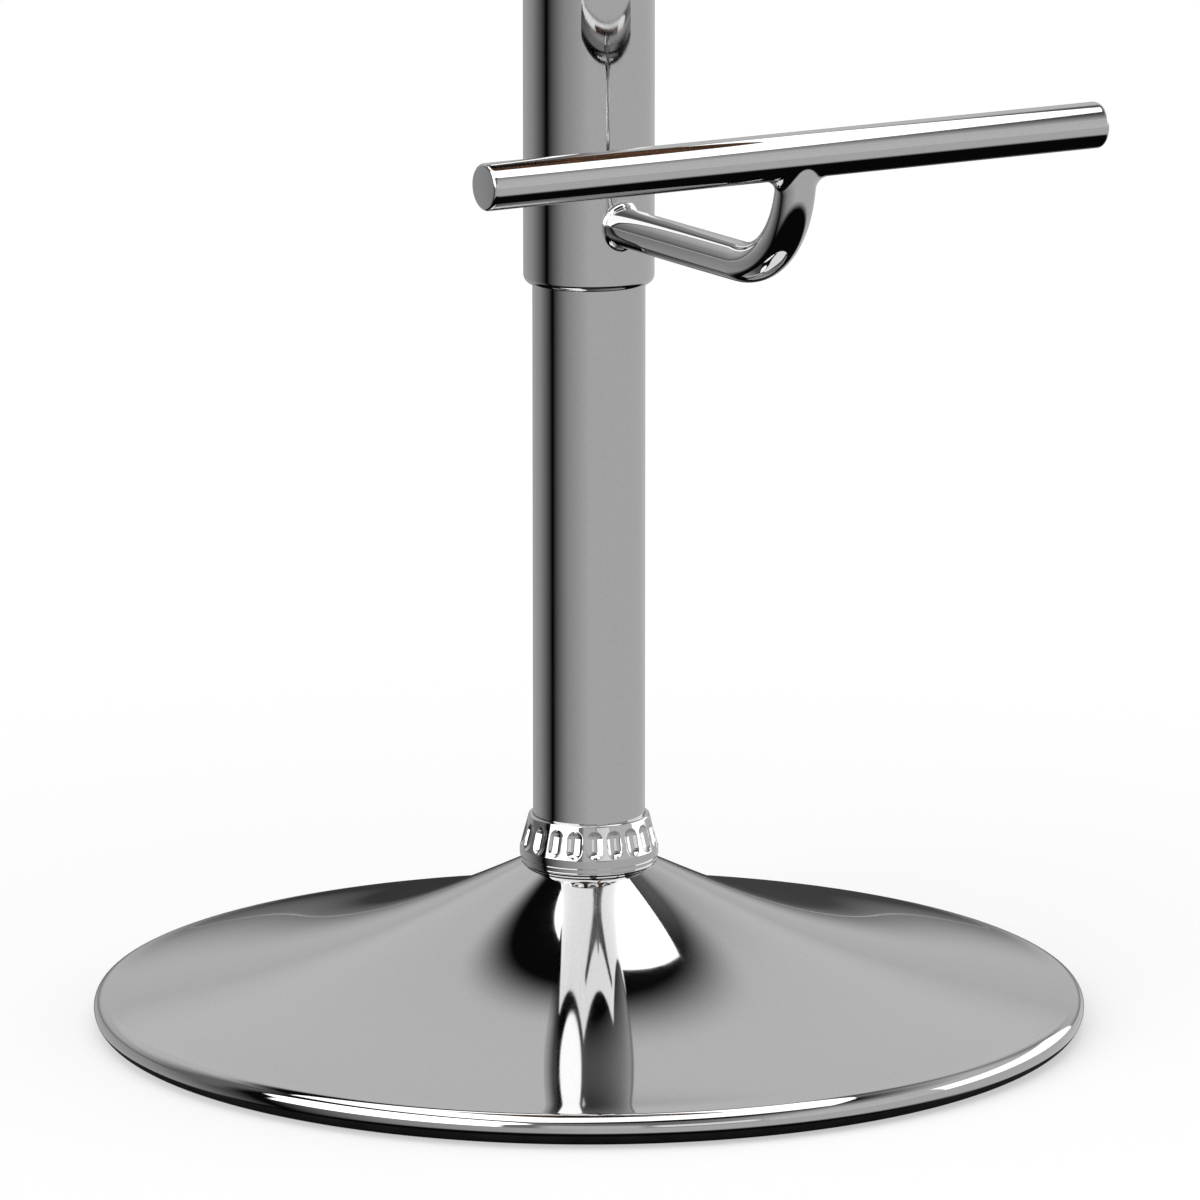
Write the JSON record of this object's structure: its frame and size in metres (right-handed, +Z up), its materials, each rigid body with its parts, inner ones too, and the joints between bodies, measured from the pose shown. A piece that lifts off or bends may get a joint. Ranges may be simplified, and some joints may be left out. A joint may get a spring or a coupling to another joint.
{
  "type": "swivel bar stool",
  "caption": "Swivelling bar stool with a chromed trumpet base, gas lift column, T footrest on the sleeve, and a padded bent wood seat with a low back.",
  "frame": {"origin": "on the column's axis at floor level, the centre of the base's rubber floor ring", "axes": "+Z up along the column; the footrest and the front of the seat point along -Y; the crossbar lies along X; the release lever points along -X"},
  "size_m": [0.4446, 0.4446, 0.9978],
  "materials": {
    "chrome_base": "mirror-polished chromium on spun steel",
    "chrome_trim": "mirror-polished chromium",
    "chrome_tube": "polished chromium on drawn tube",
    "chrome_footrest": "mirror-polished chromium",
    "chrome_lever": "polished chromium",
    "raw_steel": "bright drawn steel",
    "ground_steel": "ground and hardened",
    "zinc_screws": "zinc plated",
    "black_screws": "black oxide",
    "ballast_iron": "dark primer over cast iron",
    "black_paint": "black powder coat",
    "black_rubber": "moulded rubber",
    "black_plastic": "moulded, fine texture",
    "walnut": "satin lacquered walnut veneer on bent plywood",
    "plywood": "bare birch plywood",
    "leatherette": "fine grained leatherette, dark brown"
  },
  "bodies": {
    "base": {"base_shell": "chrome_base", "trim_collar": "chrome_trim", "stand_tube": "chrome_tube", "hub_socket": "raw_steel", "tube_floor": "raw_steel", "ballast_disc": "ballast_iron", "ballast_bolts": "zinc_screws", "floor_ring": "black_rubber", "guide_bush": "black_plastic", "lower_race": "ground_steel", "bearing_balls": "ground_steel", "bearing_cage": "black_plastic"},
    "rod": {"piston_rod": "ground_steel", "piston": "ground_steel", "piston_seal": "black_rubber", "rod_washer": "zinc_screws", "retaining_clip": "zinc_screws", "upper_race": "ground_steel", "bump_washer": "zinc_screws", "bump_stop": "black_rubber"},
    "upper": {"sleeve_tube": "chrome_tube", "slide_bush": "black_plastic", "sleeve_cap": "black_plastic", "footrest_arm": "chrome_footrest", "footrest_bar": "chrome_footrest", "footrest_plug_left": "chrome_footrest", "footrest_plug_right": "chrome_footrest", "pressure_tube": "black_paint", "gas_cylinder": "ground_steel", "rod_gland": "black_plastic", "valve_body": "ground_steel", "seat_socket": "black_paint", "mechanism_plate": "black_paint", "lever_bracket": "black_paint", "pivot_pin": "zinc_screws", "seat_shell": "walnut", "seat_bolts": "zinc_screws", "tee_nuts": "zinc_screws", "seat_board": "plywood", "seat_cushion": "leatherette", "seat_pad_screws": "black_screws", "back_board": "plywood", "back_cushion": "leatherette", "back_screws": "black_screws"},
    "lever": {"lever_rod": "chrome_lever", "lever_grip": "black_plastic"},
    "valve_pin": {"release_pin": "ground_steel"}
  },
  "joints": [
    {"name": "seat_swivel", "type": "hinge", "parent": "base", "child": "rod", "pos_m": [0, 0, 0.03], "axis": [0, 0, 1], "continuous": true},
    {"name": "height_lift", "type": "slide", "parent": "rod", "child": "upper", "axis": [0, 0, 1], "range_m": [-0.215, 0]},
    {"name": "release_lever", "type": "hinge", "parent": "upper", "child": "lever", "pos_m": [-0.03, 0, 0.7563], "axis": [0, 1, 0], "range_deg": [0, 5], "stiffness_Nm_per_rad": 8},
    {"name": "valve_press", "type": "slide", "parent": "upper", "child": "valve_pin", "axis": [0, 0, -1], "range_m": [0, 0.003]}
  ],
  "couplings": [
    {"joint": "valve_press", "follows": "release_lever", "m_per_rad": 0.03}
  ]
}
